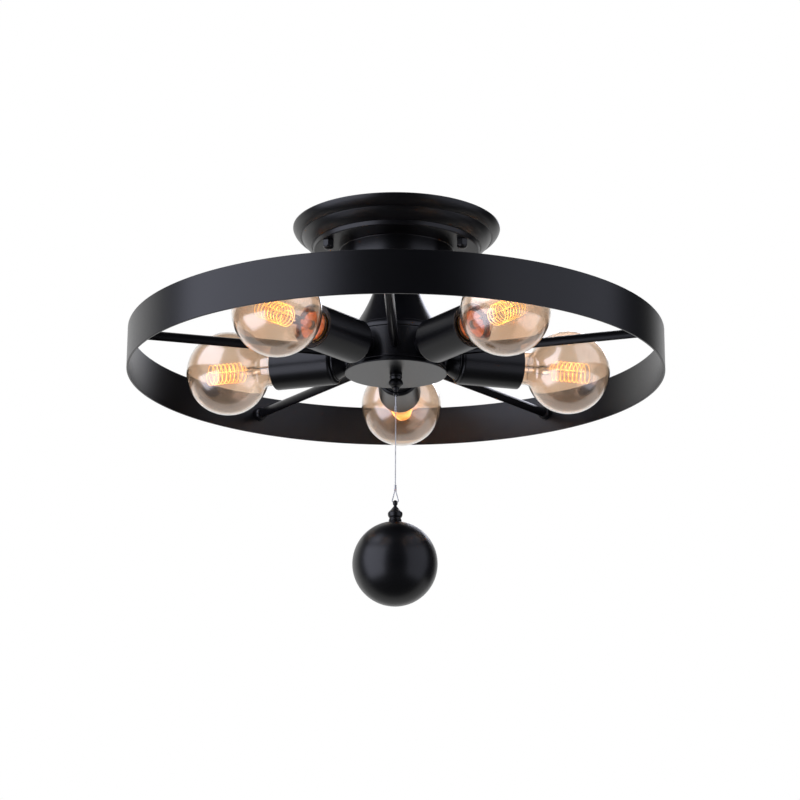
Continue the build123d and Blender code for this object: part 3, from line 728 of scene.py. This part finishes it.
def make_cap_nuts():
    """Cap nuts: a chamfered hexagon that runs into a dome, where the stud's end is."""
    foot, seat = ends("cap_nuts", Z)
    corner_r = nut_flats / math.sqrt(3)
    hex_end = seat - nut_hex
    dome_r = nut_flats / 2 - dome_step
    trim = 0.08
    dome = [(dome_r * math.cos(a), hex_end + (foot - hex_end) * math.sin(a), None)
            for a in np.linspace(trim, math.pi / 2 - trim, 12)]
    outline = rounded((0, seat, None), (dome_r, seat, 0.1), (corner_r, seat - nut_chamfer, 0.2),
                      (corner_r, hex_end + nut_chamfer, 0.2), (dome_r, hex_end, 0.1), *dome,
                      (0, foot, None), closed=False)
    nut = hex_lathe(outline, nut_flats)
    turns = [math.radians(90 + 360 / nut_count * i) for i in range(nut_count)]
    nuts = [moved(nut, stud_circle_r * math.cos(t), stud_circle_r * math.sin(t)) for t in turns]
    coated("cap_nut_set", nuts, "cap_nuts")


def make_bell():
    """Flared bell whose side is one arc through top, waist and foot, inside and out."""
    def side(shrink):
        foot = (bell_r - shrink, z_drum_top)
        waist = (bell_waist[0] - shrink, z_drum_top + bell_waist[1])
        top = (bell_top_r - shrink, z_boss - shrink)
        rise = rise_through(foot, waist, top)
        return [(*foot, 0.3), *swell(foot, top, rise, 32), (*top, 0.5), (stem_hole_r, top[1], 0.2)]

    outline = rounded(*side(0), *side(sheet_wall)[::-1])
    coated("bell_shell", [lathe(outline, 128)], "bell_cover")


def make_hub():
    """Hub box with its shoulder and rim, and the cover plate under it with a shadow gap."""
    def side(shrink):
        head = (drum_top_r - shrink, z_drum_top - shrink)
        neck = (drum_r - shrink, z_drum_top - shoulder)
        return [(stem_hole_r, head[1], 0.2), (*head, 1.2), *swell(neck, head, -shoulder_rise)[::-1],
                (*neck, 0.8)]

    lip_r, lip_top = drum_r + drum_lip[0], z_drum_foot + drum_lip[1]
    rim = [(drum_r, lip_top, 0.25), (lip_r, lip_top, 0.4), (lip_r, z_drum_foot, 0.5),
           (drum_r - drum_wall, z_drum_foot, 0.3)]
    drum = rounded(*side(0), *rim, *side(drum_wall)[::-1])
    coated("hub_box", [lathe(drum, 160)], "hub_drum")

    face, hole = z_cover + cover_thick, cover_hole_r
    top, inner_r = z_drum_foot + spigot_height, spigot_r - spigot_wall
    plate = rounded((hole, z_cover, 0.2), (cover_r, z_cover, 0.9), (cover_r, face, 0.9),
                    (drum_r, face, 0.2), (drum_r, z_drum_foot, 0.2), (spigot_r, z_drum_foot, 0.2),
                    (spigot_r, top, 0.3), (inner_r, top, 0.3), (inner_r, face, 0.2), (hole, face, 0.2))
    coated("hub_cover", [lathe(plate, 160)], "cover_plate")


def drilled_bead(foot, long, radius, eye, hole):
    """Bead with a hole across it along X, seen from the eye's centre: along each ray, halving finds the
    reach at which the point is the bead's radius away from the line between its two ends' centres."""
    start = math.asin(hole / radius)
    a = np.linspace(start, math.pi - start, 25)[:, None]
    turn = np.linspace(0, TURN, 48, endpoint=False)
    rays = np.stack([np.cos(a) + 0 * turn, np.sin(a) * np.cos(turn), np.sin(a) * np.sin(turn)], -1)
    near, far = np.zeros(rays.shape[:2]), np.full(rays.shape[:2], 4 * radius)
    for _ in range(40):
        reach = (near + far) / 2
        points = rays * reach[..., None] + [0, 0, eye]
        height = points[..., 2] - np.clip(points[..., 2], foot, foot + long)
        inside = np.sqrt(points[..., 0] ** 2 + points[..., 1] ** 2 + height ** 2) < radius
        near, far = np.where(inside, reach, near), np.where(inside, far, reach)
    t = np.linspace(0, 1, 8)[1:-1, None, None]
    bore = points[-1] + (points[0] - points[-1]) * t
    return np.concatenate([points, bore]), True


def finial():
    """Turned finial that points down from its seat at zero: shank, beaded collar, bell rim, drawn neck, and
    a long bead drilled across."""
    shank_r, shank_top = 3.1, 11.0
    collar = [(5.8, 0, 0.3), (6.0, -1.3, 0.4), (5.5, -2.0, 0.2), (6.0, -2.8, 0.4), (5.7, -4.2, 0.4)]
    waist, rim = (5.2, -5.4), (6.8, -9.4)
    under, neck = (6.7, -10.4), (1.4, -16.6)
    body = rounded((0, shank_top, None), (shank_r, shank_top, 0.3), (shank_r, 0.05, 0.05), *collar,
                   (*waist, 0.8), *swell(waist, rim, 0.5, 8), (*rim, 0.35), (*under, 0.35),
                   *swell(under, neck, -1.0, 10), (*neck, 0.6), (1.35, -17.7, 0.2), (0, -17.8, None),
                   closed=False)
    bead = drilled_bead(foot=-20.1, long=1.2, radius=2.2, eye=-20.7, hole=0.8)
    return [lathe(body, 64, closed=False), bead]


def make_finials():
    """The hub's finial, turned a quarter, and the same one turned over on the ball."""
    hub = [moved(quarter(surface), z=z_cover) for surface in finial()]
    ball = [(points * [1, -1, -1] + [0, 0, z_ball_seat], closed) for points, closed in finial()]
    coated("hub_finial_turned", hub, "hub_finial")
    coated("ball_finial_turned", ball, "ball_finial", "ball")


# Wheel

def make_ring():
    """Rolled strip: a narrow upright rectangle with rounded edges, turned about the light's axis."""
    outline = rounded((ring_inner_r, z_ring, edge), (ring_outer_r, z_ring, edge),
                      (ring_outer_r, z_ring_top, edge), (ring_inner_r, z_ring_top, edge))
    coated("ring_strip", [lathe(outline, 384)], "ring_band")


def make_spokes():
    """Round rods from hub to ring, and the flared collars round their outer ends."""
    near, far = drum_r - overrun, ring_outer_r + overrun
    rod = rounded((0, near, None), (spoke_r, near, 0.1), (spoke_r, far, 0.1), (0, far, None), closed=False)
    rod = seated(lathe(rod, 40, closed=False), drum_r, ring_inner_r)
    start = ring_inner_r - collar_long
    hole = spoke_r + collar_gap
    mouth = (hole + collar_lip, start)
    foot = (collar_r, ring_inner_r - collar_foot)
    horn = rounded((hole, start, 0.1), (*mouth, 0.2), *swell(foot, mouth, collar_rise)[::-1], (*foot, 0.4),
                   (collar_r, ring_outer_r, 0.1), (hole, ring_outer_r, 0.1))
    horn = seated(lathe(horn, 48), drum_r, ring_inner_r)
    for i in LAMPS:
        coated(f"spoke_rod_{i}", [outwards(rod, spoke_turn[i])], f"spoke_{i}")
    collars = [outwards(horn, spoke_turn[i]) for i in LAMPS]
    coated("spoke_collar_set", collars, "spoke_collars")


# Lamps

def make_cups():
    """Drawn cups with a rounded back and a rounded rim, the collars that hold them to the hub, and the
    moulded holders inside, whose grooved front ring shows round each lamp's neck."""
    inner_r = cup_r - sheet_wall
    floor = cup_back + sheet_wall
    cup = rounded((nipple_hole_r, cup_back, 0.2), (cup_r, cup_back, cup_round), (cup_r, cup_mouth, 0.5),
                  (inner_r, cup_mouth, 0.5), (inner_r, floor, cup_round), (nipple_hole_r, floor, 0.2))
    cup = lathe(cup, 112)
    start = drum_r - overrun
    collar = rounded((0, start, None), (nipple_collar_r, start, 0.1),
                     (nipple_collar_r, drum_r + nipple_step, 2.0),
                     (nipple_flare_r - nipple_bevel[0], cup_back - nipple_bevel[1], 0.3),
                     (nipple_flare_r, cup_back - nipple_flange, 0.3), (nipple_flare_r, cup_back, 0.3),
                     (0, cup_back, None), closed=False)
    collar = seated(lathe(collar, 56, closed=False), drum_r, cup_mouth)
    back, front, seat = floor + holder_back, cup_mouth - holder_front, cup_mouth - holder_depth
    outer, bore = inner_r - holder_gap, holder_bore_r
    wall_1, wall_2, deep = outer - groove[0], outer - groove[1], front - groove[2]
    holder = rounded((0, back, None), (outer - holder_chamfer, back, 0.3),
                     (outer, back + holder_chamfer, 0.3), (outer, front, 0.5), (wall_1, front, 0.2),
                     (wall_1, deep, 0.2), (wall_2, deep, 0.2), (wall_2, front, 0.2), (bore, front, 0.6),
                     (bore, seat, 0.3), (0, seat, None), closed=False)
    holder = lathe(holder, 96, closed=False)
    for i in LAMPS:
        coated(f"cup_shell_{i}", [outwards(cup, lamp_turn[i])], f"lamp_cup_{i}")
    collars = [outwards(collar, lamp_turn[i]) for i in LAMPS]
    coated("cup_collar_set", collars, "cup_nipples")
    holders = [outwards(holder, lamp_turn[i]) for i in LAMPS]
    piece("holder_set", holders, phenolic, "fixture", ["lampholders"])


def globe_outline(shrink):
    """Half section of the lamp's glass: neck, cone, throat, a hollow arc tangent to throat and globe, then
    the globe to its pole. The arc's centre lies bend outside the throat and ball + bend from the globe's
    centre."""
    neck, throat, ball = neck_r - shrink, throat_r - shrink, globe_r - shrink
    bend = throat_round + shrink
    throat_end = globe_at - math.sqrt((ball + bend) ** 2 - (throat + bend) ** 2)
    lean = math.atan2(throat + bend, globe_at - throat_end)
    turn = np.linspace(0, math.pi / 2 - lean, 14)[1:-1]
    curve = np.stack([throat + bend * (1 - np.cos(turn)), throat_end + bend * np.sin(turn)], 1)
    a = np.linspace(lean, math.pi, 90)
    ball_arc = np.stack([ball * np.sin(a), globe_at - ball * np.cos(a)], 1)
    ball_arc[-1, 0] = 0.0
    foot = glass_foot + shrink
    start = rounded((0, foot, None), (neck, foot, 0.6), (neck, cap_rim, 2.0),
                    (throat, cap_rim + neck_cone, 2.5), (throat, throat_end, None), closed=False)
    return np.vstack([start, curve, ball_arc])


def make_cap():
    """Screw cap: r = cap_r - depth (1 - cos(2 pi s / pitch - a)) / 2, a rounded right-hand thread, eased
    out at both ends, above a plain cone; a glass insulator shows at the foot."""
    cone_top, foot = cap_foot + cap_cone, cap_foot + button_edge
    s = np.linspace(cone_top, cap_rim, 88)[:, None]
    a = np.linspace(0, TURN, 72, endpoint=False)
    ease = np.clip(np.minimum(s - cone_top, cap_rim - cap_plain - s) / thread_ease, 0, 1)
    wave = (1 - np.cos(TURN * s / thread_pitch - a)) / 2
    r = cap_r - thread_depth * wave * ease
    outside = np.stack([r * np.cos(a), r * np.sin(a), s + 0 * a], -1)
    inner = rounded((cap_r, cap_rim, None), (cap_r - cap_wall, cap_rim, 0.15),
                    (cap_r - cap_wall - 0.1, cone_top + cap_wall, 0.5),
                    (cap_foot_hole_r, foot + cap_wall, 0.2), (cap_foot_hole_r, foot, 0.2),
                    (cap_foot_r, foot, 0.2), (cap_r - 0.2, cone_top - 0.2, 0.4), (cap_r, cone_top, None),
                    closed=False)
    inside = lathe(inner, 72)[0]
    shell = (np.concatenate([outside, inside[1:-1]]), True)
    top_r, top = button_top[0], cap_foot + button_top[1]
    button = rounded((0, cap_foot, None), (button_r, cap_foot, 0.3), (cap_foot_r, foot, 0.3),
                     (top_r, top, 0.2), (0, top, None), closed=False)
    return shell, lathe(button, 48, closed=False)


def stem_surface():
    """Glass stem: a round flare at the neck that draws in and is pinched flat at the top. Each row is an
    ellipse whose two half-widths are smooth functions of the reach."""
    pinch_from, pinch_over = 0.62, 0.25
    s = np.linspace(glass_foot + stem_ends[0], filament_foot + stem_ends[1], 40)
    t = (s - s[0]) / (s[-1] - s[0])
    flare = stem_flare * np.exp(-5 * t) + stem_r
    pinch = np.clip((t - pinch_from) / pinch_over, 0, 1)
    pinch = pinch * pinch * (3 - 2 * pinch)
    wide, thin = flare + stem_pinch[0] * pinch, flare - stem_pinch[1] * pinch
    a = np.linspace(0, TURN, 40, endpoint=False)
    rows = np.stack([wide[:, None] * np.cos(a), thin[:, None] * np.sin(a), s[:, None] + 0 * a], -1)
    poles = np.zeros((2, len(a), 3))
    poles[0, :, 2], poles[1, :, 2] = s[0] - 0.3, s[-1] + 0.4
    return np.concatenate([poles[:1], rows, poles[1:]]), False


def filament_path():
    """Lead up beside the axis, a first turn that widens, the even spiral, and a half turn in to the lead
    back: radius, angle and reach are each given along the wire, and (r cos a, r sin a, s) is the path."""
    first, lead = spiral_start, filament_lead
    last = first + filament_turns * filament_pitch
    low, high = first - filament_widen, last - filament_tail
    grow = np.linspace(0, 1, 40)
    ease = grow * grow * (3 - 2 * grow)
    rise = np.linspace(0, 1, 24 * filament_turns)
    down = np.linspace(0, 1, 30)
    radius = np.concatenate([np.full(6, lead), lead + (filament_r - lead) * ease,
                             np.full(len(rise), filament_r), filament_r + (lead - filament_r) * ease,
                             np.full(len(down), lead)])
    angle = np.concatenate([np.full(6, -TURN), -TURN + TURN * grow, TURN * filament_turns * rise,
                            TURN * (filament_turns + grow / 2),
                            np.full(len(down), TURN * (filament_turns + 0.5))])
    reach = np.concatenate([np.linspace(filament_foot, low, 6), low + filament_widen * grow,
                            first + (last - first) * rise, last - filament_tail * grow ** 3,
                            high + (filament_foot - high) * down])
    path = np.stack([radius * np.cos(angle), radius * np.sin(angle), reach], 1)
    return path[np.concatenate([[True], np.linalg.norm(np.diff(path, axis=0), axis=1) > 1e-4])]


def support_wires():
    """Rod on the axis, and thin hooks from it out to the spiral, one at every second turn: straight runs
    with a small rise."""
    hooks = []
    for number in range(hook_count):
        reach = spiral_start + filament_pitch * (1 + 2 * number)
        turn = TURN * (0.12 + number / hook_count)
        t = np.linspace(0, 1, 12)
        r = hook_root + (filament_r - hook_root) * t
        path = np.stack([r * np.cos(turn), r * np.sin(turn), reach + hook_rise * t * t], 1)
        hooks.append(tube(path, hook_r, 8, across=[0, 0, 1.0]))
    reach = np.linspace(filament_foot - rod_ends[0], spiral_start + rod_ends[1], 20)
    rod = np.stack([0 * reach, 0 * reach, reach], 1)
    return hooks + [tube(rod, rod_r, 10, across=[1.0, 0, 0])]


def make_lamps():
    """Five globe lamps: glass with its hollow inside, stem, filament with supports, the mica disc that
    keeps heat from the neck, threaded cap and tip."""
    outside = lathe(globe_outline(0), 128, closed=False)
    inside = lathe(globe_outline(glass_wall), 128, closed=False)
    cap, button = make_cap()
    path = filament_path()
    radial = np.stack([path[:, 0], path[:, 1], 0 * path[:, 0]], 1)
    spiral = tube(path, filament_wire_r, 8, across=radial / np.linalg.norm(radial, axis=1, keepdims=True))
    tip = rounded((0, cap_foot, None), (tip_r[0], cap_foot, 0.2), (tip_r[1], tip_foot + tip_side, 0.5),
                  (tip_r[2], tip_foot, 1.5), (0, tip_foot, None), closed=False)
    tip = lathe(tip, 40, closed=False)
    back = cap_rim + shield_rise
    front = back + shield_wall
    shield = rounded((shield_r[0], back, 0.1), (shield_r[1], back, 0.15), (shield_r[1], front, 0.15),
                     (shield_r[0], front, 0.1))
    shield = lathe(shield, 72)
    for i in LAMPS:
        turn, body = lamp_turn[i], f"bulb_{i}"

        def laid(*surfaces):
            return [outwards(surface, turn) for surface in surfaces]

        globe = piece(f"globe_{i}", laid(outside, inside), lamp_glass, body, [f"bulb_glass_{i}"],
                      hollow=(1,))
        globe.visible_shadow = False
        stem = piece(f"glass_stem_{i}", laid(stem_surface()), stem_glass, body, ())
        stem.visible_shadow = False
        piece(f"filament_spiral_{i}", laid(spiral), glow_wire, body, [f"filament_{i}"])
        piece(f"filament_supports_{i}", laid(*support_wires()), wire_steel, body, ())
        piece(f"screw_cap_{i}", laid(cap), brass, body, [f"bulb_cap_{i}"])
        piece(f"heat_shield_{i}", laid(shield), mica, body, ())
        piece(f"cap_insulator_{i}", laid(button), vitrite, body, ())
        piece(f"cap_tip_{i}", laid(tip), solder, f"bulb_{i}_foot", [f"bulb_tip_{i}"])
        make_lamp_glow(i)


# Hanging ball

def eye_loop():
    """Wire eye hung on its top side, legs drawn together into a crimped sleeve: a rounded outline in the XZ
    plane carried by a round section, and a turned sleeve with two pressed waists."""
    leg_end = -loop_height - 2 * wire_r
    tail = leg_end - leg_tail
    route = rounded((-loop_leg, tail, None), (-loop_leg, -loop_height, 0.9), (-loop_half, 0, 0.9),
                    (loop_half, 0, 0.9), (loop_leg, -loop_height, 0.9), (loop_leg, tail, None),
                    closed=False)
    path = np.stack([route[:, 0], 0 * route[:, 0], route[:, 1]], 1)
    low = leg_end - crimp_length
    press = [(crimp_r - crimp_press * math.sin(TURN * t) ** 2, leg_end + (low - leg_end) * t, None)
             for t in np.linspace(0.08, 0.92, 21)]
    crimp = rounded((0, leg_end, None), (crimp_r, leg_end, 0.3), *press, (crimp_r, low, 0.3),
                    (0, low, None), closed=False)
    return [tube(path, wire_r, 14, across=[0, 1.0, 0]), lathe(crimp, 40, closed=False)]


def smooth_line(points):
    """Points along a smooth curve: a spline of order 3 that takes the given points as its control points
    and starts and ends on the outer two, read back from the curve's own mesh."""
    curve = bpy.data.curves.new("wire_route", "CURVE")
    curve.dimensions = "3D"
    curve.resolution_u = 24
    spline = curve.splines.new("NURBS")
    spline.points.add(len(points) - 1)
    spline.points.foreach_set("co", np.hstack([points, np.ones((len(points), 1))]).ravel())
    spline.order_u = 3
    spline.use_endpoint_u = True
    route = bpy.data.objects.new("wire_route", curve)
    mesh = bpy.data.meshes.new_from_object(route)
    line = np.empty(3 * len(mesh.vertices))
    mesh.vertices.foreach_get("co", line)
    bpy.data.objects.remove(route)
    bpy.data.curves.remove(curve)
    bpy.data.meshes.remove(mesh)
    return line.reshape(-1, 3)


def make_drop():
    """Ball, and the wire rope that carries it: three strands, each a helix (a cos t, a sin t) about the
    route read from the cord's own smooth curve, with an eye at each end."""
    a = np.linspace(0, math.pi, 97)
    ball = np.stack([ball_r * np.sin(a), z_ball + ball_r * np.cos(a)], 1)
    ball[[0, -1], 0] = 0.0
    coated("ball_shell", [lathe(ball, 192, closed=False)], "drop_ball", "ball")

    upper = [moved(quarter(surface), z=z_upper_eye) for surface in eye_loop()]
    lower = [(points * [1, -1, -1] + [0, 0, z_lower_eye], closed) for points, closed in eye_loop()]
    upper_eye = piece("upper_wire_eye", upper, wire_steel, "wire_eye", ["upper_loop"])
    lower_eye = piece("lower_wire_eye", lower, wire_steel, "wire", ["lower_loop"])

    lead_in = 12 * wire_r
    line = smooth_line(np.array([[0, 0, z_wire_top], [0, 0, z_wire_top - lead_in],
                                 [0, 0, z_wire_foot + lead_in], [0, 0, z_wire_foot]]))
    along = np.concatenate([[0], np.cumsum(np.linalg.norm(np.diff(line, axis=0), axis=1))])
    length = along[-1]
    reach = np.linspace(0, length, 600)
    route = np.stack([np.interp(reach, along, line[:, axis]) for axis in range(3)], 1)
    strands = []
    for number in range(strand_count):
        turn = TURN * (reach / strand_lay + number / strand_count)
        swing = (wire_r - strand_r) * np.stack([np.cos(turn), np.sin(turn), 0 * turn], 1)
        strands.append(tube(route + swing, strand_r, 8, across=[1.0, 0, 0]))
    rope = piece("drop_rope", strands, wire_steel, "wire", ["drop_wire"])


# Pieces kept from the part, with their own finish

def finish_kept_nodes():
    """Inner pieces whose shape is right: they keep their mesh and get their material."""
    finishes = {
        zinc: ["ceiling_plate", "plate_studs", "stem_pipe", "stem_nuts", "stem_washers", "spoke_nuts",
               "nipple_nuts"],
        brass: ["earth_screw", "screw_shells", "centre_contacts"],
        phenolic: ["junction_board"],
        ivory: ["terminal_block"],
        sleeve: ["supply_leads", "holder_leads"],
    }
    for material, nodes in finishes.items():
        for name in nodes:
            slots = frame["nodes"][name].data.materials
            slots.clear()
            slots.append(material)


make_camera()
make_drop()
make_world()
make_floor()
softbox("left_softbox", azimuth=-57, height=60, distance=1150, width=1700, tall=3400, power=41)
softbox("right_softbox", azimuth=66, height=60, distance=1150, width=1700, tall=3400, power=16)
softbox("back_softbox", azimuth=165, height=900, distance=1900, width=1200, tall=700, power=8)
make_canopy()
make_cap_nuts()
make_bell()
make_hub()
make_finials()
make_ring()
make_spokes()
make_cups()
make_lamps()
finish_kept_nodes()

bpy.context.scene.view_settings.view_transform = "Standard"
